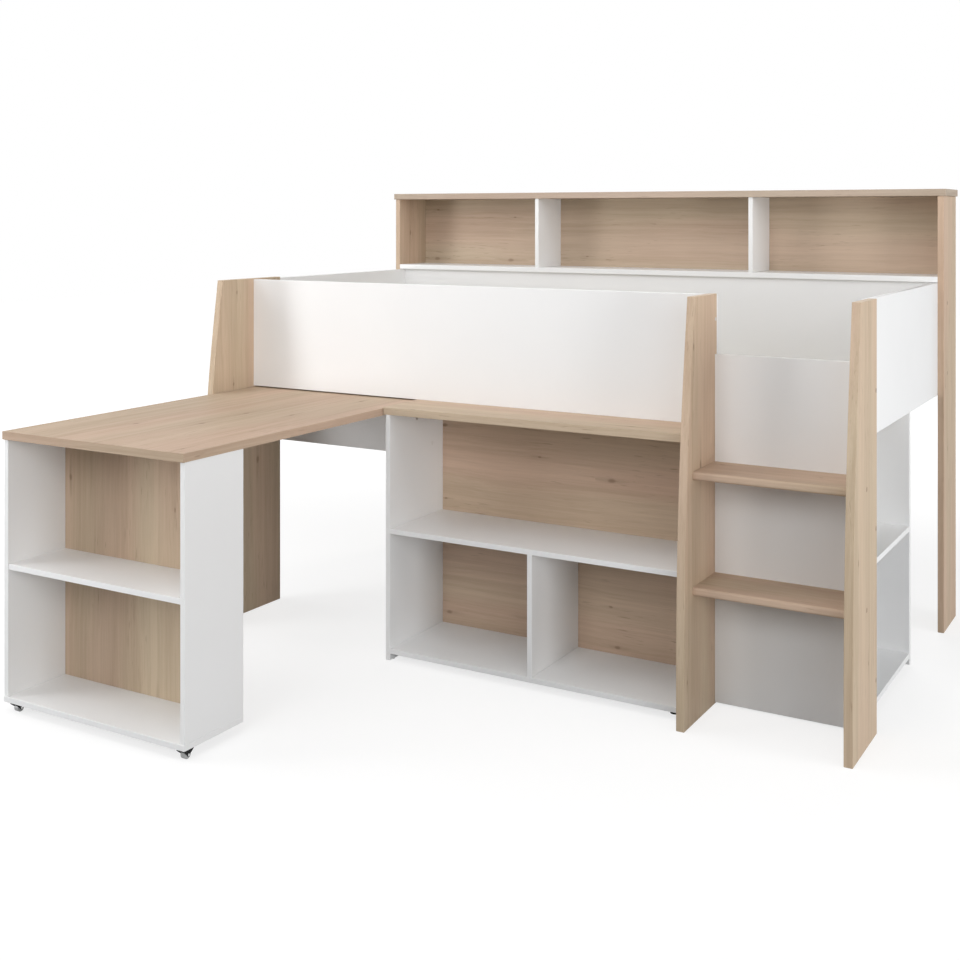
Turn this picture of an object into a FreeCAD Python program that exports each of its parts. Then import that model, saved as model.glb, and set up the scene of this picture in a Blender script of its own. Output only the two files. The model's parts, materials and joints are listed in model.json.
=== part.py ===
import FreeCAD, Part
import math
import os

# Mid sleeper bed with a fixed bookcase, an open end unit, a shelf along the rear and a pull-out desk.
# Millimetres, +Z up. While building, X = 0 is the outer face of the left end panel, Y = 0 the front
# of the ladder legs at the floor and Z = 0 the floor. X runs along the bed and Y towards its rear.

# Board thicknesses
leg_thickness = 22.0
upright_thickness = 19.0
panel_thickness = 18.0
carcass_thickness = 15.0
shelf_thickness = 15.0
ladder_panel_thickness = 16.0
worktop_thickness = 22.0
thin_back_thickness = 12.0
edge_round = 1.0

# Bed
inner_length = 2012.0
inner_width = 911.0
guard_bottom = 754.0
guard_height = 357.0
guard_end_inset = 3.0

# Legs and ladder
leg_rise = 3.0
leg_depth = 246.0
leg_curve_foot = 150.0
leg_curve_top_drop = 152.0
leg_curve_radius = 5700.0
front_left_leg_setback = 11.0
front_left_leg_depth = 377.0
ladder_width = 405.0
ladder_panel_drop = 161.0
ladder_panel_floor_gap = 4.5
tread_thickness = 22.0
tread_depth = 169.0
tread_nose_radius = 7.0
upper_tread_top = 659.0
lower_tread_top = 358.0

# Slatted base
ledger_width = 30.0
ledger_height = 32.0
ledger_lift = 4.0
slat_count = 14
slat_width = 70.0
slat_thickness = 16.0
slat_end_gap = 3.0

# Rear uprights and the shelf that they carry
upright_depth = 208.0
rear_panel_setback = 10.0
end_panel_lap = 120.0
rear_shelf_lift = 2.0
rear_shelf_clear_height = 258.0
rear_back_thickness = 16.0
rear_back_inset = 2.0
rear_top_end_overhang = 6.0
rear_top_front_overhang = 4.0
rear_divider_offset = 605.0
rear_divider_setback = 2.0

# Fixed bookcase under the bed
bookcase_setback = 62.0
bookcase_depth = 312.0
bookcase_end_inset = 9.0
bookcase_middle_shelf_top = 393.0
bottom_shelf_top = 36.0
bookcase_divider_offset = 461.0

# End unit behind the ladder
end_unit_depth = 580.0
end_unit_end_inset = 13.0
end_unit_middle_shelf_top = 410.0

# Pull-out desk
desk_guard_gap = 4.0
desk_width = 647.0
desk_reach = 792.0
desk_side_gap = 2.0
desk_seam_gap = 3.0
desk_tail = 36.0
desk_box_front_inset = 6.0
desk_box_back = 569.0
desk_box_side_inset = 1.5
desk_bottom_front_inset = 4.0
desk_bottom_underside = 26.0
desk_shelf_top = 395.0
desk_shelf_setback = 2.0
desk_back_thickness = 15.0
desk_back_inset = 5.0

# Rail that carries the tail of the desk, and the stop batten behind it
rail_front = 292.0
rail_thickness = 16.0
rail_height = 155.0
glide_gap = 0.3
stop_gap = 0.5
stop_width = 22.0
stop_height = 30.0
stop_end_inset = 40.0

# Fixed castors at the front of the desk
left_castor_inset = 36.25
right_castor_inset = 17.25
castor_front_inset = 22.0
castor_plate_length = 42.0
castor_plate_thickness = 2.0
castor_cheek_thickness = 2.0
castor_boss_radius = 4.5
castor_wheel_radius = 11.0
castor_wheel_width = 15.5
castor_wheel_round = 2.0
castor_wheel_side_gap = 0.5
castor_axle_radius = 2.0
castor_rivet_radius = 3.0
castor_rivet_height = 0.8
castor_screw_spread = 31.0
castor_screw_radius = 1.5
castor_screw_depth = 12.0
castor_screw_head_radius = 3.2
castor_screw_head_height = 1.6
running_fit = 0.05

# Glides under the panels that reach the floor, and the foot under the bookcase
glide_height = 1.5
glide_radius = 7.0
glide_end_inset = 25.0
foot_radius = 12.0
foot_end_inset = 48.0
foot_setback = 52.0

# Screws, bolts, cams and dowels
screw_head_radius = 6.5
screw_head_height = 3.0
screw_radius = 3.2
screw_length = 48.0
upright_screw_length = 33.0
fixing_fit = 0.08
fixing_end_gap = 0.5
ladder_panel_low_screw = 140.0
ladder_panel_middle_screw = 527.0
ladder_panel_screw_drop = 70.0
tread_screw_setback = 79.0
tread_screw_drop = 14.0
guard_fixing_inset = 66.0
upright_screw_setback = 60.0
rail_low_screw_inset = 40.0
rail_high_screw_inset = 25.0
bolt_radius = 3.0
bolt_head_radius = 6.5
bolt_head_height = 4.0
bolt_socket_sides = 6
bolt_socket_radius = 2.9
bolt_socket_depth = 2.5
bolt_depth_in_leg = 22.0
barrel_nut_radius = 5.0
barrel_nut_setback = 8.5
barrel_nut_length = 15.0
cam_radius = 7.5
cam_depth = 12.0
cam_slot_length = 10.0
cam_slot_width = 1.8
cam_slot_depth = 1.5
cam_drop = 28.0
cam_setback = 149.0
cam_bolt_radius = 3.5
cam_bolt_depth_in_top = 11.0
dowel_radius = 4.0
dowel_depth_in_face = 9.0
dowel_depth_in_edge = 22.0
dowel_inset = 55.0
bookcase_end_dowel_inset = 35.0

# Planes along the length of the bed
left_end_outer = 0.0
left_end_inner = left_end_outer + panel_thickness
right_end_inner = left_end_inner + inner_length
right_end_outer = right_end_inner + panel_thickness
front_left_leg_outer = left_end_inner - leg_thickness
right_leg_outer = right_end_outer + leg_thickness
ladder_left_inner = right_end_outer - ladder_width
ladder_left_outer = ladder_left_inner - leg_thickness
left_upright_outer = left_end_outer - upright_thickness
right_upright_outer = right_end_outer + upright_thickness
desk_left = left_end_inner + desk_side_gap
desk_right = desk_left + desk_width
fixed_top_left = desk_right + desk_seam_gap
bookcase_left_outer = fixed_top_left + bookcase_end_inset
bookcase_left_inner = bookcase_left_outer + carcass_thickness
bookcase_right = ladder_left_outer
bookcase_divider_left = bookcase_left_inner + bookcase_divider_offset
end_unit_left_outer = ladder_left_outer
end_unit_left_inner = end_unit_left_outer + panel_thickness
end_unit_right = right_end_outer - end_unit_end_inset
desk_box_left_outer = desk_left + desk_box_side_inset
desk_box_left_inner = desk_box_left_outer + carcass_thickness
desk_box_right_outer = desk_right - desk_box_side_inset
desk_box_right_inner = desk_box_right_outer - carcass_thickness

# Planes across the bed
front_left_leg_back = front_left_leg_setback + front_left_leg_depth
guard_front = leg_depth
guard_back = guard_front + panel_thickness
rear_panel_front = guard_back + inner_width
rear_panel_back = rear_panel_front + panel_thickness
upright_front = rear_panel_front - rear_panel_setback
upright_back = upright_front + upright_depth
end_panel_back = upright_front + end_panel_lap
rear_back_back = upright_back - rear_back_inset
rear_back_front = rear_back_back - rear_back_thickness
ladder_panel_front = leg_depth - ladder_panel_thickness
tread_front = ladder_panel_front - tread_depth
bookcase_front = bookcase_setback
bookcase_back = bookcase_front + bookcase_depth
bookcase_back_front = bookcase_back - thin_back_thickness
end_unit_back = leg_depth + end_unit_depth
end_unit_back_front = end_unit_back - panel_thickness
rail_back = rail_front + rail_thickness
stop_front = rail_back + stop_gap
desk_front = -desk_reach
desk_tail_end = rail_back + desk_tail
desk_box_front = desk_front + desk_box_front_inset
desk_box_rear = -desk_box_back
desk_back_panel_back = desk_box_rear - desk_back_inset
desk_back_panel_front = desk_back_panel_back - desk_back_thickness
desk_bottom_front = desk_front + desk_bottom_front_inset

# Heights
guard_top = guard_bottom + guard_height
leg_height = guard_top + leg_rise
ladder_panel_top = guard_top - ladder_panel_drop
ledger_bottom = guard_bottom + ledger_lift
ledger_top = ledger_bottom + ledger_height
slat_top = ledger_top + slat_thickness
rear_shelf_underside = guard_top + rear_shelf_lift
rear_shelf_top_of_base = rear_shelf_underside + panel_thickness
upright_height = rear_shelf_top_of_base + rear_shelf_clear_height
fixed_top_underside = guard_bottom - worktop_thickness
desk_height = guard_bottom - desk_guard_gap
desk_underside = desk_height - worktop_thickness
desk_bottom_top = desk_bottom_underside + shelf_thickness
bottom_shelf_underside = bottom_shelf_top - shelf_thickness
bookcase_middle_shelf_underside = bookcase_middle_shelf_top - shelf_thickness
rail_top = desk_underside - glide_gap
rail_bottom = rail_top - rail_height

# The part's origin is under the middle of its bounding box
low_x = min(front_left_leg_outer, left_upright_outer - rear_top_end_overhang)
high_x = max(right_leg_outer, right_upright_outer + rear_top_end_overhang)
origin = FreeCAD.Vector((low_x + high_x) / 2, (desk_front + upright_back) / 2, 0)

X_AXIS = FreeCAD.Vector(1, 0, 0)
Y_AXIS = FreeCAD.Vector(0, 1, 0)
Z_AXIS = FreeCAD.Vector(0, 0, 1)

pieces = {}
groups = {}
holes = {}


def at(x, y, z):
    return FreeCAD.Vector(x, y, z)


def box(x_range, y_range, z_range):
    size = [high - low for low, high in (x_range, y_range, z_range)]
    return Part.makeBox(*size, at(x_range[0], y_range[0], z_range[0]))


def rod(radius, start, axis, length):
    return Part.makeCylinder(radius, length, start, axis)


def board(name, x_range, y_range, z_range):
    """A panel with its edges eased."""
    plain = box(x_range, y_range, z_range)
    pieces[name] = plain.makeFillet(edge_round, plain.Edges)


def add_to(group, solid):
    groups.setdefault(group, []).append(solid)


def drill(name, cutter):
    holes.setdefault(name, []).append(cutter)


def dowel(group, seam, axis, behind, depth_behind, ahead, depth_ahead):
    """A dowel across the seam between two pieces, with a blind hole in each."""
    add_to(group, rod(dowel_radius, seam - axis * depth_behind, axis, depth_behind + depth_ahead))
    hole_radius = dowel_radius + fixing_fit
    deep_behind = depth_behind + fixing_end_gap
    deep_ahead = depth_ahead + fixing_end_gap
    drill(behind, rod(hole_radius, seam - axis * deep_behind, axis, deep_behind + edge_round))
    drill(ahead, rod(hole_radius, seam - axis * edge_round, axis, deep_ahead + edge_round))


def screw(group, face, axis, outer_piece, inner_piece, length):
    """A screw with a flush round cap, driven along axis through one piece into another."""
    head = rod(screw_head_radius, face, axis, screw_head_height)
    shank = rod(screw_radius, face + axis * screw_head_height, axis, length - screw_head_height)
    add_to(group, head.fuse(shank))
    start = face - axis * edge_round
    drill(outer_piece, rod(screw_head_radius + fixing_fit, start, axis, edge_round + screw_head_height))
    clearance_hole = rod(screw_radius + fixing_fit, start, axis, edge_round + length + fixing_end_gap)
    drill(outer_piece, clearance_hole)
    drill(inner_piece, clearance_hole)


def leg(name, x_range, front, depth):
    """A leg panel. Its front edge is upright at the foot, curves gently back and ends in a straight lean."""

    def on_curve(angle):
        y = front + leg_curve_radius * (1 - math.cos(angle))
        z = leg_curve_foot + leg_curve_radius * math.sin(angle)
        return at(x_range[0], y, z)

    curve_height = leg_height - leg_curve_top_drop - leg_curve_foot
    lean = math.asin(curve_height / leg_curve_radius)
    front_foot = at(x_range[0], front, 0)
    front_top = on_curve(lean) + at(0, leg_curve_top_drop * math.tan(lean), leg_curve_top_drop)
    back_top = at(x_range[0], front + depth, leg_height)
    back_foot = at(x_range[0], front + depth, 0)
    outline = Part.Wire([
        Part.LineSegment(front_foot, on_curve(0)).toShape(),
        Part.Arc(on_curve(0), on_curve(lean / 2), on_curve(lean)).toShape(),
        Part.LineSegment(on_curve(lean), front_top).toShape(),
        Part.LineSegment(front_top, back_top).toShape(),
        Part.LineSegment(back_top, back_foot).toShape(),
        Part.LineSegment(back_foot, front_foot).toShape(),
    ])
    plain = Part.Face(outline).extrude(X_AXIS * (x_range[1] - x_range[0]))
    pieces[name] = plain.makeFillet(edge_round, plain.Edges)


def tread(name, top):
    """A ladder tread with a rounded nose."""
    tread_y = (tread_front, ladder_panel_front)
    plain = box((ladder_left_inner, right_end_outer), tread_y, (top - tread_thickness, top))
    nose = [e for e in plain.Edges if all(abs(v.Y - tread_front) < edge_round for v in e.Vertexes)]
    nose = [e for e in nose if abs(e.tangentAt(e.FirstParameter).dot(X_AXIS)) > 0.5]
    pieces[name] = plain.makeFillet(tread_nose_radius, nose)


def dowel_rows(low, high):
    """Two places for dowels, the same distance in from either end of a seam."""
    return (low + dowel_inset, high - dowel_inset)


def build_legs():
    front_left_x = (front_left_leg_outer, left_end_inner)
    leg("front_left_leg", front_left_x, front_left_leg_setback, front_left_leg_depth)
    leg("ladder_left_leg", (ladder_left_outer, ladder_left_inner), 0, leg_depth)
    leg("ladder_right_leg", (right_end_outer, right_leg_outer), 0, leg_depth)
    upright_y = (upright_front, upright_back)
    board("rear_left_upright", (left_upright_outer, left_end_outer), upright_y, (0, upright_height))
    board("rear_right_upright", (right_end_outer, right_upright_outer), upright_y, (0, upright_height))


def build_bed_sides():
    guard_z = (guard_bottom, guard_top)
    guard_x = (left_end_inner, ladder_left_inner - guard_end_inset)
    board("front_guard", guard_x, (guard_front, guard_back), guard_z)
    board("left_end_panel", (left_end_outer, left_end_inner), (front_left_leg_back, end_panel_back), guard_z)
    board("right_end_panel", (right_end_inner, right_end_outer), (leg_depth, end_panel_back), guard_z)
    rear_x = (left_end_inner, right_end_inner)
    rear_z = (guard_bottom, rear_shelf_underside)
    board("rear_side_panel", rear_x, (rear_panel_front, rear_panel_back), rear_z)

    middle = (guard_front + guard_back) / 2
    bolt_x = (ladder_left_outer + ladder_left_inner) / 2
    for z in (guard_bottom + guard_fixing_inset, guard_top - guard_fixing_inset):
        screw("leg_screws", at(front_left_leg_outer, middle, z), X_AXIS,
              "front_left_leg", "front_guard", screw_length)
        guard_bolt(bolt_x, z)
        dowel("frame_dowels", at((left_end_outer + left_end_inner) / 2, front_left_leg_back, z), Y_AXIS,
              "front_left_leg", dowel_depth_in_edge, "left_end_panel", dowel_depth_in_edge)
        y = upright_front + upright_screw_setback
        screw("upright_screws", at(left_upright_outer, y, z), X_AXIS,
              "rear_left_upright", "left_end_panel", upright_screw_length)
        screw("upright_screws", at(right_upright_outer, y, z), -X_AXIS,
              "rear_right_upright", "right_end_panel", upright_screw_length)
        y = (rear_panel_front + rear_panel_back) / 2
        dowel("frame_dowels", at(left_end_inner, y, z), X_AXIS,
              "left_end_panel", dowel_depth_in_face, "rear_side_panel", dowel_depth_in_edge)
        dowel("frame_dowels", at(right_end_inner, y, z), X_AXIS,
              "rear_side_panel", dowel_depth_in_edge, "right_end_panel", dowel_depth_in_face)
    for z in dowel_rows(guard_bottom, ladder_panel_top):
        dowel("frame_dowels", at((right_end_inner + right_end_outer) / 2, leg_depth, z), Y_AXIS,
              "ladder_panel", dowel_depth_in_face, "right_end_panel", dowel_depth_in_edge)


def guard_bolt(x, z):
    """A socket bolt through the guard into the ladder leg's back edge, held by a barrel nut in the leg."""
    head = rod(bolt_head_radius, at(x, guard_back, z), Y_AXIS, bolt_head_height)
    shank_end = guard_front - bolt_depth_in_leg
    shank = rod(bolt_radius, at(x, shank_end, z), Y_AXIS, guard_back - shank_end)
    corners = []
    for side in range(bolt_socket_sides):
        angle = math.tau * side / bolt_socket_sides
        corner_x = x + bolt_socket_radius * math.cos(angle)
        corner_z = z + bolt_socket_radius * math.sin(angle)
        corners.append(at(corner_x, guard_back + bolt_head_height, corner_z))
    socket_rim = Part.makePolygon(corners + corners[:1])
    socket = Part.Face(socket_rim).extrude(-Y_AXIS * bolt_socket_depth)
    add_to("guard_bolts", head.fuse(shank).cut(socket))
    bolt_hole = rod(bolt_radius + fixing_fit, at(x, shank_end - fixing_end_gap, z), Y_AXIS,
                    guard_back - shank_end + fixing_end_gap + edge_round)
    drill("front_guard", bolt_hole)
    drill("ladder_left_leg", bolt_hole)
    nut_start = at(ladder_left_inner, guard_front - barrel_nut_setback, z)
    nut = rod(barrel_nut_radius, nut_start, -X_AXIS, barrel_nut_length)
    add_to("guard_barrel_nuts", nut.cut(bolt_hole))
    nut_hole_start = nut_start + X_AXIS * edge_round
    nut_hole_length = barrel_nut_length + fixing_end_gap + edge_round
    drill("ladder_left_leg", rod(barrel_nut_radius + fixing_fit, nut_hole_start, -X_AXIS, nut_hole_length))


def build_ladder():
    panel_x = (ladder_left_inner, right_end_outer)
    panel_z = (ladder_panel_floor_gap, ladder_panel_top)
    board("ladder_panel", panel_x, (ladder_panel_front, leg_depth), panel_z)
    tread("upper_tread", upper_tread_top)
    tread("lower_tread", lower_tread_top)
    middle = (ladder_panel_front + leg_depth) / 2
    high_screw = ladder_panel_top - ladder_panel_screw_drop
    panel_screws = (ladder_panel_low_screw, ladder_panel_middle_screw, high_screw)
    fixings = [("ladder_panel", middle, z) for z in panel_screws]
    for name, top in (("upper_tread", upper_tread_top), ("lower_tread", lower_tread_top)):
        fixings.append((name, tread_front + tread_screw_setback, top - tread_screw_drop))
    for name, y, z in fixings:
        screw("leg_screws", at(ladder_left_outer, y, z), X_AXIS, "ladder_left_leg", name, screw_length)
        screw("leg_screws", at(right_leg_outer, y, z), -X_AXIS, "ladder_right_leg", name, screw_length)


def build_slatted_base():
    span = (left_end_inner, right_end_inner)
    ledger_z = (ledger_bottom, ledger_top)
    board("front_slat_ledger", span, (guard_back, guard_back + ledger_width), ledger_z)
    board("rear_slat_ledger", span, (rear_panel_front - ledger_width, rear_panel_front), ledger_z)
    pitch = inner_length / slat_count
    slat_y = (guard_back + slat_end_gap, rear_panel_front - slat_end_gap)
    for index in range(slat_count):
        middle = left_end_inner + pitch * (index + 0.5)
        slat = box((middle - slat_width / 2, middle + slat_width / 2), slat_y, (ledger_top, slat_top))
        add_to("bed_slats", slat.makeFillet(edge_round, slat.Edges))


def build_rear_shelf():
    span = (left_end_outer, right_end_outer)
    shelf_y = (upright_front, rear_back_front)
    board("rear_shelf_base", span, shelf_y, (rear_shelf_underside, rear_shelf_top_of_base))
    board("rear_shelf_back", span, (rear_back_front, rear_back_back), (rear_shelf_underside, upright_height))
    top_x = (left_upright_outer - rear_top_end_overhang, right_upright_outer + rear_top_end_overhang)
    top_y = (upright_front - rear_top_front_overhang, upright_back)
    board("rear_shelf_top", top_x, top_y, (upright_height, upright_height + worktop_thickness))

    divider_y = (upright_front + rear_divider_setback, rear_back_front)
    divider_z = (rear_shelf_top_of_base, upright_height)
    left_x = left_end_outer + rear_divider_offset
    right_x = right_end_outer - rear_divider_offset - shelf_thickness
    for name, x in (("rear_shelf_left_divider", left_x), ("rear_shelf_right_divider", right_x)):
        board(name, (x, x + shelf_thickness), divider_y, divider_z)
        for y in dowel_rows(*divider_y):
            middle = x + shelf_thickness / 2
            dowel("rear_shelf_dowels", at(middle, y, rear_shelf_top_of_base), Z_AXIS,
                  "rear_shelf_base", dowel_depth_in_face, name, dowel_depth_in_edge)
            dowel("rear_shelf_dowels", at(middle, y, upright_height), Z_AXIS,
                  name, dowel_depth_in_edge, "rear_shelf_top", dowel_depth_in_face)

    base_middle = (rear_shelf_underside + rear_shelf_top_of_base) / 2
    for y in dowel_rows(*shelf_y):
        dowel("rear_shelf_dowels", at(left_end_outer, y, base_middle), X_AXIS,
              "rear_left_upright", dowel_depth_in_face, "rear_shelf_base", dowel_depth_in_edge)
        dowel("rear_shelf_dowels", at(right_end_outer, y, base_middle), X_AXIS,
              "rear_shelf_base", dowel_depth_in_edge, "rear_right_upright", dowel_depth_in_face)
        for name, outer, inner in (("rear_left_upright", left_upright_outer, left_end_outer),
                                   ("rear_right_upright", right_upright_outer, right_end_outer)):
            dowel("rear_shelf_dowels", at((outer + inner) / 2, y, upright_height), Z_AXIS,
                  name, dowel_depth_in_edge, "rear_shelf_top", dowel_depth_in_face)


def build_bookcase():
    side_y = (bookcase_front, bookcase_back)
    side_z = (glide_height, fixed_top_underside)
    inside_x = (bookcase_left_inner, bookcase_right)
    inside_y = (bookcase_front, bookcase_back_front)
    board("bookcase_left_side", (bookcase_left_outer, bookcase_left_inner), side_y, side_z)
    board("fixed_worktop", (fixed_top_left, bookcase_right), side_y, (fixed_top_underside, guard_bottom))
    board("bookcase_back_panel", inside_x, (bookcase_back_front, bookcase_back),
          (bottom_shelf_underside, fixed_top_underside))
    shelves = (
        ("bookcase_bottom_shelf", bottom_shelf_top),
        ("bookcase_middle_shelf", bookcase_middle_shelf_top),
    )
    for name, top in shelves:
        board(name, inside_x, inside_y, (top - shelf_thickness, top))
        z = top - shelf_thickness / 2
        for y in dowel_rows(*inside_y):
            dowel("bookcase_dowels", at(bookcase_left_inner, y, z), X_AXIS,
                  "bookcase_left_side", dowel_depth_in_face, name, dowel_depth_in_edge)
        dowel_to_ladder(name, inside_y, z)
    dowel_to_ladder("fixed_worktop", side_y, fixed_top_underside + worktop_thickness / 2)

    divider_x = (bookcase_divider_left, bookcase_divider_left + carcass_thickness)
    board("bookcase_divider", divider_x, inside_y, (bottom_shelf_top, bookcase_middle_shelf_underside))
    for y in dowel_rows(*inside_y):
        x = bookcase_divider_left + carcass_thickness / 2
        dowel("bookcase_dowels", at(x, y, bottom_shelf_top), Z_AXIS,
              "bookcase_bottom_shelf", dowel_depth_in_face, "bookcase_divider", dowel_depth_in_edge)
        dowel("bookcase_dowels", at(x, y, bookcase_middle_shelf_underside), Z_AXIS,
              "bookcase_divider", dowel_depth_in_edge, "bookcase_middle_shelf", dowel_depth_in_face)

    build_cam()


def dowel_to_ladder(name, y_range, z):
    """Two dowels in a board's right end: the front one into the ladder leg, the other into the end unit."""
    front_y = y_range[0] + bookcase_end_dowel_inset
    back_y = y_range[1] - bookcase_end_dowel_inset
    for y, holder in ((front_y, "ladder_left_leg"), (back_y, "end_unit_inner_side")):
        dowel("bookcase_dowels", at(bookcase_right, y, z), X_AXIS,
              name, dowel_depth_in_edge, holder, dowel_depth_in_face)


def build_cam():
    """A round cam in the bookcase's left side, and the bolt that it draws down from the worktop."""
    y = bookcase_front + cam_setback
    z = fixed_top_underside - cam_drop
    bolt_start = at(bookcase_left_inner - carcass_thickness / 2, y, z)
    bolt_length = cam_drop + cam_bolt_depth_in_top
    bolt_hole = rod(cam_bolt_radius + fixing_fit, bolt_start, Z_AXIS, bolt_length + fixing_end_gap)
    pieces["bookcase_cam_bolt"] = rod(cam_bolt_radius, bolt_start, Z_AXIS, bolt_length)
    slot_x = (bookcase_left_inner - cam_slot_depth, bookcase_left_inner)
    long_y = (y - cam_slot_length / 2, y + cam_slot_length / 2)
    long_z = (z - cam_slot_length / 2, z + cam_slot_length / 2)
    narrow_y = (y - cam_slot_width / 2, y + cam_slot_width / 2)
    narrow_z = (z - cam_slot_width / 2, z + cam_slot_width / 2)
    cross = box(slot_x, long_y, narrow_z).fuse(box(slot_x, narrow_y, long_z))
    cam = rod(cam_radius, at(bookcase_left_inner, y, z), -X_AXIS, cam_depth)
    pieces["bookcase_cam"] = cam.cut([bolt_hole, cross])
    cam_hole_start = at(bookcase_left_inner + edge_round, y, z)
    cam_hole_length = edge_round + cam_depth + fixing_end_gap
    drill("bookcase_left_side", rod(cam_radius + fixing_fit, cam_hole_start, -X_AXIS, cam_hole_length))
    drill("bookcase_left_side", bolt_hole)
    drill("fixed_worktop", bolt_hole)


def build_end_unit():
    panel_z = (glide_height, guard_bottom)
    inside_x = (end_unit_left_inner, end_unit_right)
    inside_y = (leg_depth, end_unit_back_front)
    inner_side_x = (end_unit_left_outer, end_unit_left_inner)
    board("end_unit_inner_side", inner_side_x, (leg_depth, end_unit_back), panel_z)
    board("end_unit_rear_panel", inside_x, (end_unit_back_front, end_unit_back), panel_z)
    shelves = (
        ("end_unit_bottom_shelf", bottom_shelf_top),
        ("end_unit_middle_shelf", end_unit_middle_shelf_top),
    )
    for name, top in shelves:
        board(name, inside_x, inside_y, (top - shelf_thickness, top))
        z = top - shelf_thickness / 2
        for y in dowel_rows(*inside_y):
            dowel("end_unit_dowels", at(end_unit_left_inner, y, z), X_AXIS,
                  "end_unit_inner_side", dowel_depth_in_face, name, dowel_depth_in_edge)
        for x in dowel_rows(*inside_x):
            dowel("end_unit_dowels", at(x, leg_depth, z), Y_AXIS,
                  "ladder_panel", dowel_depth_in_face, name, dowel_depth_in_edge)
            dowel("end_unit_dowels", at(x, end_unit_back_front, z), Y_AXIS,
                  name, dowel_depth_in_edge, "end_unit_rear_panel", dowel_depth_in_face)


def build_rail():
    rail_x = (left_end_inner, bookcase_left_outer)
    board("desk_support_rail", rail_x, (rail_front, rail_back), (rail_bottom, rail_top))
    middle = (rail_front + rail_back) / 2
    for z in (rail_bottom + rail_low_screw_inset, rail_top - rail_high_screw_inset):
        screw("leg_screws", at(front_left_leg_outer, middle, z), X_AXIS,
              "front_left_leg", "desk_support_rail", screw_length)
        screw("rail_screws", at(bookcase_left_inner, middle, z), -X_AXIS,
              "bookcase_left_side", "desk_support_rail", screw_length)


def build_glides():
    bookcase_y = (bookcase_front + glide_end_inset, bookcase_back - glide_end_inset)
    end_unit_y = (leg_depth + glide_end_inset, end_unit_back - glide_end_inset)
    spots = [(bookcase_left_outer + carcass_thickness / 2, y) for y in bookcase_y]
    spots += [(end_unit_left_outer + panel_thickness / 2, y) for y in end_unit_y]
    end_unit_x = (end_unit_left_inner + glide_end_inset, end_unit_right - glide_end_inset)
    spots += [(x, end_unit_back - panel_thickness / 2) for x in end_unit_x]
    for x, y in spots:
        add_to("floor_glides", rod(glide_radius, at(x, y, 0), Z_AXIS, glide_height))
    foot = at(bookcase_right - foot_end_inset, bookcase_front + foot_setback, 0)
    add_to("floor_glides", rod(foot_radius, foot, Z_AXIS, bottom_shelf_underside))


def build_desk():
    board("desk_top", (desk_left, desk_right), (desk_front, desk_tail_end), (desk_underside, desk_height))
    side_y = (desk_box_front, desk_box_rear)
    side_z = (desk_bottom_top, desk_underside)
    inside_x = (desk_box_left_inner, desk_box_right_inner)
    shelf_y = (desk_box_front + desk_shelf_setback, desk_back_panel_front)
    shelf_z = (desk_shelf_top - shelf_thickness, desk_shelf_top)
    bottom_z = (desk_bottom_underside, desk_bottom_top)
    board("desk_left_side", (desk_box_left_outer, desk_box_left_inner), side_y, side_z)
    board("desk_right_side", (desk_box_right_inner, desk_box_right_outer), side_y, side_z)
    bottom_x = (desk_box_left_outer, desk_box_right_outer)
    board("desk_bottom_board", bottom_x, (desk_bottom_front, desk_box_rear), bottom_z)
    board("desk_back_panel", inside_x, (desk_back_panel_front, desk_back_panel_back), side_z)
    board("desk_middle_shelf", inside_x, shelf_y, shelf_z)
    stop_x = (desk_left + stop_end_inset, desk_right - stop_end_inset)
    stop_z = (desk_underside - stop_height, desk_underside)
    board("desk_stop_batten", stop_x, (stop_front, stop_front + stop_width), stop_z)

    shelf_middle = desk_shelf_top - shelf_thickness / 2
    for y in dowel_rows(*shelf_y):
        dowel("desk_dowels", at(desk_box_left_inner, y, shelf_middle), X_AXIS,
              "desk_left_side", dowel_depth_in_face, "desk_middle_shelf", dowel_depth_in_edge)
        dowel("desk_dowels", at(desk_box_right_inner, y, shelf_middle), X_AXIS,
              "desk_middle_shelf", dowel_depth_in_edge, "desk_right_side", dowel_depth_in_face)
        for name, left in (("desk_left_side", desk_box_left_outer),
                           ("desk_right_side", desk_box_right_inner)):
            x = left + carcass_thickness / 2
            dowel("desk_dowels", at(x, y, desk_bottom_top), Z_AXIS,
                  "desk_bottom_board", dowel_depth_in_face, name, dowel_depth_in_edge)
            dowel("desk_dowels", at(x, y, desk_underside), Z_AXIS,
                  name, dowel_depth_in_edge, "desk_top", dowel_depth_in_face)


def castor_cheek(x, axle_y, axle_z, top):
    """One cheek of a castor's fork, as long as the plate above and narrowing to a boss round the axle."""
    half_plate = castor_plate_length / 2
    top_front = at(x, axle_y - half_plate, top)
    top_back = at(x, axle_y + half_plate, top)
    boss_front = at(x, axle_y - castor_boss_radius, axle_z)
    boss_foot = at(x, axle_y, axle_z - castor_boss_radius)
    boss_back = at(x, axle_y + castor_boss_radius, axle_z)
    outline = Part.Wire([
        Part.LineSegment(top_front, top_back).toShape(),
        Part.LineSegment(top_back, boss_back).toShape(),
        Part.Arc(boss_back, boss_foot, boss_front).toShape(),
        Part.LineSegment(boss_front, top_front).toShape(),
    ])
    return Part.Face(outline).extrude(X_AXIS * castor_cheek_thickness)


def castor_screw(fork, foot, length):
    """A small screw up through a castor's plate into the desk's bottom board."""
    head = rod(castor_screw_head_radius, foot, Z_AXIS, castor_screw_head_height)
    shank = rod(castor_screw_radius, foot, Z_AXIS, length)
    add_to("castor_screws", head.fuse(shank).removeSplitter())
    hole_start = foot + Z_AXIS * castor_screw_head_height
    hole_length = length - castor_screw_head_height + fixing_end_gap
    hole = rod(castor_screw_radius + fixing_fit, hole_start, Z_AXIS, hole_length)
    drill(fork, hole)
    drill("desk_bottom_board", hole)


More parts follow.
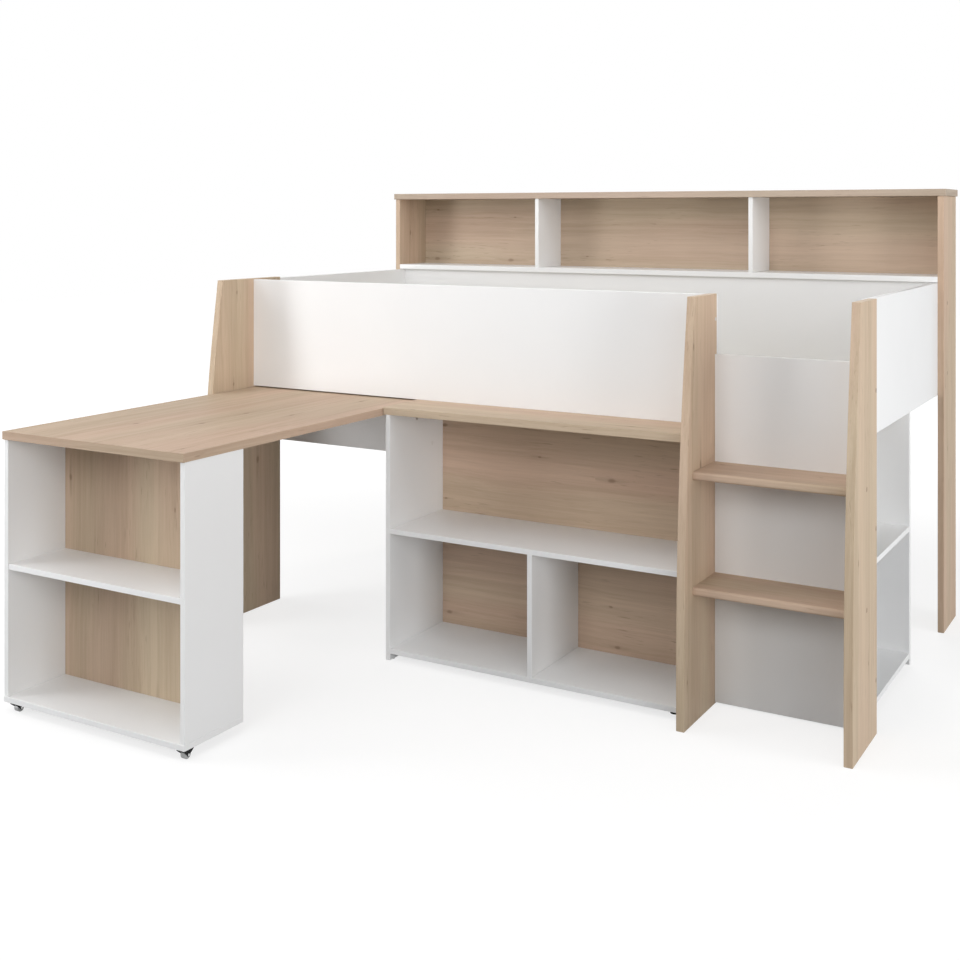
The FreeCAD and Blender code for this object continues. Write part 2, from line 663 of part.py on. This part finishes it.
def build_castor(side, x):
    """A small fixed castor: a fork of a plate and two cheeks, the axle riveted in it, and the wheel."""
    y = desk_bottom_front + castor_front_inset
    z = castor_wheel_radius
    plate_bottom = desk_bottom_underside - castor_plate_thickness
    cheek_inner = castor_wheel_width / 2 + castor_wheel_side_gap
    half_fork = cheek_inner + castor_cheek_thickness
    half_plate = castor_plate_length / 2
    plate_y = (y - half_plate, y + half_plate)
    plate = box((x - half_fork, x + half_fork), plate_y, (plate_bottom, desk_bottom_underside))
    cheeks = [castor_cheek(left, y, z, plate_bottom) for left in (x - half_fork, x + cheek_inner)]
    axle_pin = rod(castor_axle_radius, at(x - half_fork, y, z), X_AXIS, 2 * half_fork)
    pieces[side + "_castor_fork"] = plate.fuse(cheeks).removeSplitter().cut(axle_pin)
    rivets = [
        rod(castor_rivet_radius, at(x - half_fork, y, z), -X_AXIS, castor_rivet_height),
        rod(castor_rivet_radius, at(x + half_fork, y, z), X_AXIS, castor_rivet_height),
    ]
    pieces[side + "_castor_axle"] = axle_pin.fuse(rivets).removeSplitter()

    wheel_start = at(x - castor_wheel_width / 2, y, z)
    wheel = rod(castor_wheel_radius, wheel_start, X_AXIS, castor_wheel_width)
    rims = [edge for edge in wheel.Edges if isinstance(edge.Curve, Part.Circle)]
    wheel = wheel.makeFillet(castor_wheel_round, rims)
    wheel_bore = rod(castor_axle_radius + running_fit, wheel_start, X_AXIS, castor_wheel_width)
    pieces[side + "_castor_wheel"] = wheel.cut(wheel_bore)

    screw_reach = castor_screw_head_height + castor_plate_thickness + castor_screw_depth
    for screw_y in (y - castor_screw_spread / 2, y + castor_screw_spread / 2):
        foot = at(x, screw_y, plate_bottom - castor_screw_head_height)
        castor_screw(side + "_castor_fork", foot, screw_reach)


def build_all():
    build_legs()
    build_bed_sides()
    build_ladder()
    build_slatted_base()
    build_rear_shelf()
    build_bookcase()
    build_end_unit()
    build_rail()
    build_glides()
    build_desk()
    build_castor("left", desk_left + left_castor_inset)
    build_castor("right", desk_right - right_castor_inset)


def export_all():
    os.makedirs("parts", exist_ok=True)
    for name, cutters in holes.items():
        pieces[name] = pieces[name].cut(cutters)
    for name, solids in groups.items():
        pieces[name] = Part.makeCompound(solids)
    for name, shape in pieces.items():
        placed = shape.copy()
        placed.translate(-origin)
        placed.exportStep("parts/" + name + ".step")


build_all()
export_all()
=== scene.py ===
import json
import math

import bpy
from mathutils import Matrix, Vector

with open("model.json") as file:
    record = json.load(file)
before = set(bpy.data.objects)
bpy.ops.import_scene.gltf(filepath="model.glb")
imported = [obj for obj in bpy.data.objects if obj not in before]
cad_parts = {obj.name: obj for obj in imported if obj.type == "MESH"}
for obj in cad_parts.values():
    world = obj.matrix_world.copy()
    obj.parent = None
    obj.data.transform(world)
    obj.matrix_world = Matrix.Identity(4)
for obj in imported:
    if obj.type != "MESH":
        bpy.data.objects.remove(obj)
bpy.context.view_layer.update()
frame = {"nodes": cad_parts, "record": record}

# Keeps every CAD node as it is, gives it a finish, and sets it in a plain studio. Colours are linear.
# A pattern is a noise: repeats per metre along three axes, then octaves and roughness.
# A step is where a pattern's value begins and ends to count. A bump is a strength and a depth in metres.

NOISE_MIDDLE = 0.5
WHITE = (1.0, 1.0, 1.0)

# Wood: which way the grain runs on each piece, as along it, across the face and through the board
OAK_GRAIN = {
    "front_left_leg": "ZYX",
    "ladder_left_leg": "ZYX",
    "ladder_right_leg": "ZYX",
    "rear_left_upright": "ZYX",
    "rear_right_upright": "ZYX",
    "upper_tread": "XYZ",
    "lower_tread": "XYZ",
    "rear_shelf_top": "XYZ",
    "rear_shelf_back": "XZY",
    "fixed_worktop": "XYZ",
    "bookcase_back_panel": "XZY",
    "desk_top": "YXZ",
    "desk_back_panel": "ZXY",
}
PINE_GRAIN = {
    "front_slat_ledger": "XZY",
    "rear_slat_ledger": "XZY",
    "bed_slats": "YXZ",
    "desk_stop_batten": "XZY",
}
DOWEL_GRAIN = "XYZ"

# Wood: colours of the light, middle and dark grain, and of the knots
OAK_SHADES = ((0.622, 0.491, 0.369), (0.557, 0.433, 0.321), (0.482, 0.362, 0.262))
OAK_KNOT = (0.2, 0.125, 0.08)
PINE_SHADES = ((0.82, 0.73, 0.59), (0.76, 0.66, 0.51), (0.66, 0.54, 0.39))
PINE_KNOT = (0.32, 0.2, 0.11)
ROSY_TINT = (1.025, 0.99, 0.985)
STRAW_TINT = (0.97, 1.0, 0.97)

# Wood: boards whose colour is scaled from that of the plain oak. The darker treads (the lower one darkest)
# and the darker desk top are painted shade, and the lighter bookcase back is painted light; the other boards
# are scaled by their own factors.
PLAIN_TONE = (1.0, 1.0, 1.0)
OAK_TONE_AND_PAINTED_LIGHT = {
    "desk_top": (0.89, 0.86, 0.87),
    "upper_tread": (0.93, 0.915, 0.93),
    "lower_tread": (0.92, 0.905, 0.92),
    "bookcase_back_panel": (1.08, 1.05, 1.08),
    "rear_shelf_back": (0.985, 1.0, 1.035),
    "rear_shelf_top": (0.86, 0.9, 0.98),
    "rear_right_upright": (1.04, 1.02, 1.02),
    "fixed_worktop": (0.98, 0.965, 0.98),
}

# Wood: each piece has its own seed, and one seed shifts the pattern by this many metres
SEED_SHIFT = (0.731, 1.913, 0.377)
FIRST_OAK_SEED = 1.0
FIRST_PINE_SEED = 40.0
DOWEL_SEED = 3.0
# A face belongs to an axis where its normal lies along it by more than this
FACE_LIMIT = 0.7

# Wood: grain
WANDER = ((1.5, 5.0, 5.0), 3.0, 0.5)
BAND = ((0.6, 14.0, 14.0), 3.0, 0.55)
STREAK = ((1.3, 70.0, 70.0), 4.0, 0.6)
FIBRE = ((8.0, 430.0, 430.0), 3.0, 0.6)
HUE = ((0.9, 6.0, 6.0), 1.0, 0.5)
DASH = ((17.0, 210.0, 210.0), 1.0, 0.5)
DASH_PATCH = ((3.5, 9.0, 9.0), 1.0, 0.5)
SHADE_STEP = (0.32, 0.68)
HUE_STEP = (0.35, 0.65)
DASH_STEP = (0.63, 0.74)
DASH_PATCH_STEP = (0.48, 0.64)
FIBRE_STEP = (0.2, 0.8)
BAND_WEIGHT = 0.42
STREAK_WEIGHT = 0.36
FIBRE_WEIGHT = 0.22
DASH_DARKNESS = 0.34
WANDER_METRES = 0.035
KNOT_BEND_METRES = 0.006
WOOD_GLOSS = 0.12
WOOD_ROUGHNESS = (0.48, 0.6)
WOOD_RELIEF = 0.5
WOOD_BUMP = (0.2, 0.0003)

# Wood: knots. A share of the cells holds one each, with its sizes as parts of a cell
OAK_KNOT_SHARE = 0.45
PINE_KNOT_SHARE = 0.35
DOWEL_KNOT_SHARE = 0.0
KNOT_CELLS_PER_METRE = (3.4, 6.8, 0.0)
KNOT_SCATTER = 0.9
KNOT_SIZES = (0.6, 1.3)
KNOT_STIR = ((30.0, 60.0, 60.0), 2.0, 0.5)
KNOT_STIR_REACH = 0.03
CORE_STRETCH = (1.0, 1.0, 0.0)
CORE_FADE = (0.012, 0.045)
CORE_DARKNESS = 0.5
TAIL_STRETCH = (0.3, 1.5, 0.0)
TAIL_FADE = (0.01, 0.085)
TAIL_DARKNESS = 0.22

# White board
WHITE_BOARD = (0.866, 0.87, 0.874)
WHITE_BOARD_SHADE = (0.846, 0.85, 0.853)
WHITE_BOARD_GLOSS = 0.25
WHITE_BOARD_ROUGHNESS = (0.36, 0.46)
WHITE_BOARD_BUMP = (0.06, 0.0002)
DRIFT = ((2.5, 2.5, 2.5), 3.0, 0.5)
DRIFT_STEP = (0.3, 0.7)
PEARL = ((900.0, 900.0, 900.0), 2.0, 0.5)
PEARL_STEP = (0.25, 0.75)

# Moulded plastic: colour, rubbed colour, middle roughness, grains per metre, gloss
PLASTICS = {
    "screw_cap": ((0.29, 0.18, 0.105), (0.34, 0.22, 0.14), 0.45, 1500.0, 0.5),
    "white_cap": ((0.8, 0.8, 0.795), (0.74, 0.74, 0.735), 0.4, 1500.0, 0.5),
    "black_plastic": ((0.012, 0.012, 0.013), (0.03, 0.03, 0.031), 0.42, 1400.0, 0.1),
    "wheel_grey": ((0.42, 0.425, 0.43), (0.34, 0.34, 0.345), 0.28, 1200.0, 0.5),
}
PLASTIC_ROUGHNESS_SWING = 0.07
PLASTIC_BUMP = (0.15, 0.0002)
RUB = ((140.0, 140.0, 140.0), 4.0, 0.6)
RUB_STEP = (0.52, 0.72)
GRIT_OCTAVES = 2.0
GRIT_ROUGHNESS = 0.5
GRIT_STEP = (0.2, 0.8)

# Plated steel
STEEL = (0.6, 0.6, 0.61)
STEEL_FILM = (0.72, 0.72, 0.7)
STEEL_ROUGHNESS = (0.24, 0.4)
STEEL_BUMP = (0.1, 0.0001)
DRAWN = ((2600.0, 2600.0, 120.0), 2.0, 0.5)
DRAWN_STEP = (0.2, 0.8)
FILM = ((90.0, 90.0, 90.0), 3.0, 0.5)

# Floor: where it is seen it glows, and its glow rises to plain white between two distances from the middle
FLOOR_HALF_WIDTH = 14.0
FLOOR_GREY = (0.3, 0.3, 0.3)
FLOOR_ROUGHNESS = 0.9
GLOW_STEP_METRES = (1.6, 5.0)
GLOW_STRENGTH = (0.73, 1.0)

# Studio: each disk lamp's place, width in metres and power in watts
LAMP_TARGET = (0.0, 0.0, 0.6)
LAMPS = {
    "left": ((-5.0, -0.5, 2.6), 2.5, 38.0),
    "left_low": ((-4.2, -3.4, 0.9), 1.6, 75.0),
    "near_left": ((-2.8, -2.2, 3.0), 2.0, 36.0),
    "front": ((0.2, -5.2, 3.0), 2.5, 64.0),
    "front_right": ((3.6, -4.2, 2.8), 2.5, 44.0),
    "right_low": ((4.8, -2.4, 0.8), 1.6, 65.0),
    "right": ((5.2, 0.0, 2.2), 2.5, 100.0),
    "right_rear": ((4.4, 3.2, 2.8), 2.5, 15.0),
    "top": ((0.4, -2.6, 4.8), 2.5, 44.0),
    "near_top": ((-1.2, -0.6, 3.8), 2.0, 24.0),
    "rear_left": ((-2.6, 4.8, 3.6), 2.5, 35.0),
    "back": ((-0.6, 5.0, 3.2), 2.5, 70.0),
}
# The world's strength where it lights the part and where it is seen
WORLD_STRENGTH = (0.06, 1.0)

# Camera, in metres and in pixels of a square image
IMAGE_SIZE = 960
FOCAL_PIXELS = 1293.65
PRINCIPAL_U = 466.1
PRINCIPAL_V = 214.13
SENSOR_MM = 36.0
CAMERA_PLACE = (1.82398, -3.43175, 1.33056)
CAMERA_HEADING = 0.533187


def add(tree, kind, inputs=None, **settings):
    """A shader node with its settings, and its inputs set or linked."""
    node = tree.nodes.new(kind)
    for key, value in settings.items():
        setattr(node, key, value)
    for key, value in (inputs or {}).items():
        if isinstance(value, bpy.types.NodeSocket):
            tree.links.new(value, node.inputs[key])
        else:
            node.inputs[key].default_value = value
    return node


def calc(tree, operation, first, second=0.0):
    """Maths on one or two numbers."""
    return add(tree, "ShaderNodeMath", {0: first, 1: second}, operation=operation).outputs[0]


def vector_calc(tree, operation, first, second):
    """Maths on two vectors."""
    return add(tree, "ShaderNodeVectorMath", {0: first, 1: second}, operation=operation).outputs[0]


def length(tree, vector):
    return add(tree, "ShaderNodeVectorMath", {0: vector}, operation="LENGTH").outputs["Value"]


def combine(tree, first, second, third):
    """A vector from three numbers."""
    return add(tree, "ShaderNodeCombineXYZ", {0: first, 1: second, 2: third}).outputs[0]


def remap(tree, value, step, low=0.0, high=1.0):
    """A smooth rise from low to high as the value goes through its step."""
    sockets = {0: value, 1: step[0], 2: step[1], 3: low, 4: high}
    return add(tree, "ShaderNodeMapRange", sockets, interpolation_type="SMOOTHSTEP").outputs[0]


def opaque(colour):
    return (*colour, 1.0)


def blend(tree, factor, first, second, mode="MIX"):
    """A mix of two colours, each a plain colour or a socket."""
    first, second = (c if isinstance(c, bpy.types.NodeSocket) else opaque(c) for c in (first, second))
    sockets = {0: factor, 6: first, 7: second}
    return add(tree, "ShaderNodeMix", sockets, data_type="RGBA", blend_type=mode).outputs[2]


def noise(tree, vector, scale, octaves, roughness):
    place = vector_calc(tree, "MULTIPLY", vector, scale)
    sockets = {"Vector": place, "Scale": 1.0, "Detail": octaves, "Roughness": roughness}
    return add(tree, "ShaderNodeTexNoise", sockets).outputs[0]


def centred_noise(tree, vector, pattern, reach):
    """A noise about zero."""
    return calc(tree, "MULTIPLY", calc(tree, "SUBTRACT", noise(tree, vector, *pattern), NOISE_MIDDLE), reach)


def object_place(tree):
    return add(tree, "ShaderNodeTexCoord").outputs["Object"]


def new_material(name):
    material = bpy.data.materials.new(name)
    material.use_nodes = True
    tree = material.node_tree
    return material, tree, tree.nodes["Principled BSDF"]


def finish_surface(tree, shader, colour, roughness, height, bump):
    """Links a surface's colour, roughness and relief to its shader."""
    strength, distance = bump
    relief = add(tree, "ShaderNodeBump", {"Height": height, "Strength": strength, "Distance": distance})
    tree.links.new(colour, shader.inputs["Base Color"])
    tree.links.new(roughness, shader.inputs["Roughness"])
    tree.links.new(relief.outputs[0], shader.inputs["Normal"])


def grain_space(tree, axes, seed):
    """Places on a board, as along its grain, across it and through it, and a factor for its two main faces.

    On end faces the edge band has its own grain.
    """
    coordinates = add(tree, "ShaderNodeTexCoord")
    place = add(tree, "ShaderNodeSeparateXYZ", {0: coordinates.outputs["Object"]})
    normal = add(tree, "ShaderNodeSeparateXYZ", {0: coordinates.outputs["Normal"]})

    def facing(axis):
        return calc(tree, "GREATER_THAN", calc(tree, "ABSOLUTE", normal.outputs[axis]), FACE_LIMIT)

    along, across, through = (place.outputs[axis] for axis in axes)
    face = combine(tree, along, across, through)
    band = combine(tree, across, through, along)
    chosen = add(tree, "ShaderNodeMix", {0: facing(axes[0]), 4: face, 5: band}, data_type="VECTOR").outputs[1]
    board = vector_calc(tree, "ADD", chosen, [step * seed for step in SEED_SHIFT])
    return board, facing(axes[2])


def knots(tree, board, on_face, share):
    """A few small knots on the main faces: a dark lens-shaped core, and a softer tail along the grain."""
    stir = centred_noise(tree, board, KNOT_STIR, KNOT_STIR_REACH)
    cell_place = vector_calc(tree, "ADD", vector_calc(tree, "MULTIPLY", board, KNOT_CELLS_PER_METRE), stir)
    sockets = {"Vector": cell_place, "Scale": 1.0, "Randomness": KNOT_SCATTER}
    cells = add(tree, "ShaderNodeTexVoronoi", sockets, voronoi_dimensions="2D")
    chance = add(tree, "ShaderNodeSeparateColor", {0: cells.outputs["Color"]})
    present = calc(tree, "MULTIPLY", calc(tree, "LESS_THAN", chance.outputs[0], share), on_face)
    size = remap(tree, chance.outputs[1], (0.0, 1.0), *KNOT_SIZES)
    offset = vector_calc(tree, "SUBTRACT", cell_place, cells.outputs["Position"])

    def spot(stretch, fade):
        reach = length(tree, vector_calc(tree, "MULTIPLY", offset, stretch))
        return calc(tree, "MULTIPLY", remap(tree, calc(tree, "DIVIDE", reach, size), fade, 1.0, 0.0), present)

    return spot(CORE_STRETCH, CORE_FADE), spot(TAIL_STRETCH, TAIL_FADE)


def wood(name, axes, seed, grain_shades_and_painted_light, knot, knot_share):
    """Pale board with long quiet grain: broad bands, fine streaks, fibres, dark dashes and a few knots."""
    material, tree, shader = new_material(name)
    board, on_face = grain_space(tree, axes, seed)
    core, tail = knots(tree, board, on_face, knot_share)

    # The grain wanders, and bends round each knot
    wander = centred_noise(tree, board, WANDER, WANDER_METRES)
    sway = calc(tree, "ADD", wander, calc(tree, "MULTIPLY", tail, KNOT_BEND_METRES))
    grain = vector_calc(tree, "ADD", board, combine(tree, 0.0, sway, sway))

    band = noise(tree, grain, *BAND)
    streak = noise(tree, grain, *STREAK)
    fibre = noise(tree, grain, *FIBRE)
    hue = remap(tree, noise(tree, grain, *HUE), HUE_STEP)
    dash = remap(tree, noise(tree, grain, *DASH), DASH_STEP)
    dash_patch = remap(tree, noise(tree, board, *DASH_PATCH), DASH_PATCH_STEP)
    dash = calc(tree, "MULTIPLY", dash, dash_patch)

    shade = calc(tree, "MULTIPLY", band, BAND_WEIGHT)
    for pattern, weight in ((streak, STREAK_WEIGHT), (fibre, FIBRE_WEIGHT)):
        shade = calc(tree, "ADD", shade, calc(tree, "MULTIPLY", pattern, weight))
    # For oak boards these grain colours also carry the painted shade or painted light of their board's
    # factor.
    light, middle, dark = (opaque(colour) for colour in grain_shades_and_painted_light)
    ramp = add(tree, "ShaderNodeValToRGB", {0: remap(tree, shade, SHADE_STEP)})
    ramp.color_ramp.elements[0].color = light
    ramp.color_ramp.elements[1].color = dark
    ramp.color_ramp.elements.new(0.5).color = middle
    colour = blend(tree, 1.0, ramp.outputs[0], blend(tree, hue, ROSY_TINT, STRAW_TINT), "MULTIPLY")
    for mark, darkness in ((dash, DASH_DARKNESS), (tail, TAIL_DARKNESS), (core, CORE_DARKNESS)):
        colour = blend(tree, calc(tree, "MULTIPLY", mark, darkness), colour, knot)

    shader.inputs["Specular IOR Level"].default_value = WOOD_GLOSS
    roughness = remap(tree, fibre, FIBRE_STEP, *WOOD_ROUGHNESS)
    height = calc(tree, "MULTIPLY", calc(tree, "SUBTRACT", fibre, dash), WOOD_RELIEF)
    finish_surface(tree, shader, colour, roughness, height, WOOD_BUMP)
    return material


def white_board():
    """White foil on board: a faint pearl texture, and a tone that drifts very slightly over the panel."""
    material, tree, shader = new_material("white_board")
    place = object_place(tree)
    drift = remap(tree, noise(tree, place, *DRIFT), DRIFT_STEP)
    pearl = noise(tree, place, *PEARL)
    colour = blend(tree, drift, WHITE_BOARD, WHITE_BOARD_SHADE)
    roughness = remap(tree, pearl, PEARL_STEP, *WHITE_BOARD_ROUGHNESS)
    shader.inputs["Specular IOR Level"].default_value = WHITE_BOARD_GLOSS
    finish_surface(tree, shader, colour, roughness, pearl, WHITE_BOARD_BUMP)
    return material


def moulded(name, colour, rubbed, roughness, grains, gloss):
    """Moulded plastic: fine spark-eroded texture, with rubbed patches of another tone."""
    material, tree, shader = new_material(name)
    place = object_place(tree)
    rub = remap(tree, noise(tree, place, *RUB), RUB_STEP)
    grit = noise(tree, place, (grains, grains, grains), GRIT_OCTAVES, GRIT_ROUGHNESS)
    tone = blend(tree, rub, colour, rubbed)
    smooth, rough = roughness - PLASTIC_ROUGHNESS_SWING, roughness + PLASTIC_ROUGHNESS_SWING
    sheen = remap(tree, grit, GRIT_STEP, smooth, rough)
    shader.inputs["Specular IOR Level"].default_value = gloss
    finish_surface(tree, shader, tone, sheen, grit, PLASTIC_BUMP)
    return material


def plated_steel():
    """Zinc-plated steel: drawn lines and a slightly blotchy film."""
    material, tree, shader = new_material("steel")
    place = object_place(tree)
    drawn = noise(tree, place, *DRAWN)
    colour = blend(tree, noise(tree, place, *FILM), STEEL, STEEL_FILM)
    roughness = remap(tree, drawn, DRAWN_STEP, *STEEL_ROUGHNESS)
    shader.inputs["Metallic"].default_value = 1.0
    finish_surface(tree, shader, colour, roughness, drawn, STEEL_BUMP)
    return material


def slot_materials():
    """One material for each of the record's slots whose pieces all share it."""
    made = {slot: moulded(slot, *finish) for slot, finish in PLASTICS.items()}
    made["white_board"] = white_board()
    made["steel"] = plated_steel()
    dowel = wood("dowel_beech", DOWEL_GRAIN, DOWEL_SEED, PINE_SHADES, PINE_KNOT, DOWEL_KNOT_SHARE)
    made["dowel_beech"] = dowel
    return made


def board_materials():
    """One material for each oak or pine piece, so that no two have the same figure."""
    made = {}
    for index, (node, axes) in enumerate(OAK_GRAIN.items()):
        # Each board's factor scales its grain colours: on the treads and the desk top it is painted shade, on
        # the bookcase back it is painted light.
        tone = OAK_TONE_AND_PAINTED_LIGHT.get(node, PLAIN_TONE)
        grain_shades_and_painted_light = [[a * b for a, b in zip(shade, tone)] for shade in OAK_SHADES]
        made[node] = wood("oak_" + node, axes, FIRST_OAK_SEED + index, grain_shades_and_painted_light, OAK_KNOT, OAK_KNOT_SHARE)
    for index, (node, axes) in enumerate(PINE_GRAIN.items()):
        seed = FIRST_PINE_SEED + index
        made[node] = wood("pine_" + node, axes, seed, PINE_SHADES, PINE_KNOT, PINE_KNOT_SHARE)
    return made


def dress_nodes():
    """Gives every CAD node its own wood, or else the material of its slot in the record."""
    by_slot = slot_materials()
    by_node = board_materials()
    for part in frame["record"]["subparts"]:
        node = part["node"]
        mesh = frame["nodes"][node].data
        mesh.materials.clear()
        mesh.materials.append(by_node.get(node) or by_slot[part["material_slot"]])


def seen_rays(tree):
    """A factor that is 1 where the surroundings are seen, straight or in gloss, and 0 where they light."""
    path = add(tree, "ShaderNodeLightPath")
    seen = calc(tree, "MAXIMUM", path.outputs["Is Camera Ray"], path.outputs["Is Glossy Ray"])
    return calc(tree, "MAXIMUM", seen, path.outputs["Is Transmission Ray"])


def make_floor():
    """A pale floor that keeps the part's soft shadow and turns to plain white further out."""
    low, high = -FLOOR_HALF_WIDTH, FLOOR_HALF_WIDTH
    corners = [(low, low, 0.0), (high, low, 0.0), (high, high, 0.0), (low, high, 0.0)]
    mesh = bpy.data.meshes.new("floor")
    mesh.from_pydata(corners, [], [(0, 1, 2, 3)])
    floor = bpy.data.objects.new("floor", mesh)
    bpy.context.scene.collection.objects.link(floor)
    material, tree, shader = new_material("floor")
    shader.inputs["Base Color"].default_value = opaque(FLOOR_GREY)
    shader.inputs["Roughness"].default_value = FLOOR_ROUGHNESS
    shader.inputs["Specular IOR Level"].default_value = 0.0
    shader.inputs["Emission Color"].default_value = opaque(WHITE)
    strength = remap(tree, length(tree, object_place(tree)), GLOW_STEP_METRES, *GLOW_STRENGTH)
    glow = calc(tree, "MULTIPLY", seen_rays(tree), strength)
    tree.links.new(glow, shader.inputs["Emission Strength"])
    mesh.materials.append(material)


def make_world():
    """A white world where it is seen, and a faint one where it lights the part."""
    world = bpy.data.worlds.new("studio")
    bpy.context.scene.world = world
    world.use_nodes = True
    tree = world.node_tree
    background = tree.nodes["Background"]
    background.inputs["Color"].default_value = opaque(WHITE)
    strength = remap(tree, seen_rays(tree), (0.0, 1.0), *WORLD_STRENGTH)
    tree.links.new(strength, background.inputs["Strength"])


def make_lamps():
    """Soft disk lamps all round, aimed at the part's middle."""
    for name, (place, size, power) in LAMPS.items():
        lamp = bpy.data.lights.new(name, "AREA")
        lamp.shape = "DISK"
        lamp.size = size
        lamp.energy = power
        holder = bpy.data.objects.new(name, lamp)
        holder.location = place
        aim = Vector(LAMP_TARGET) - Vector(place)
        holder.rotation_euler = aim.to_track_quat("-Z", "Y").to_euler()
        bpy.context.scene.collection.objects.link(holder)


def make_camera():
    """A level camera at the photo's place, with a shift that puts the horizon where the photo has it."""
    lens = bpy.data.cameras.new("camera")
    lens.sensor_fit = "HORIZONTAL"
    lens.sensor_width = SENSOR_MM
    lens.lens = FOCAL_PIXELS / IMAGE_SIZE * SENSOR_MM
    lens.shift_x = (IMAGE_SIZE / 2 - PRINCIPAL_U) / IMAGE_SIZE
    lens.shift_y = (PRINCIPAL_V - IMAGE_SIZE / 2) / IMAGE_SIZE
    camera = bpy.data.objects.new("camera", lens)
    camera.location = CAMERA_PLACE
    camera.rotation_euler = (math.pi / 2, 0.0, CAMERA_HEADING)
    bpy.context.scene.collection.objects.link(camera)
    bpy.context.scene.camera = camera


bpy.context.scene.view_settings.view_transform = "Standard"
dress_nodes()
make_floor()
make_world()
make_lamps()
make_camera()
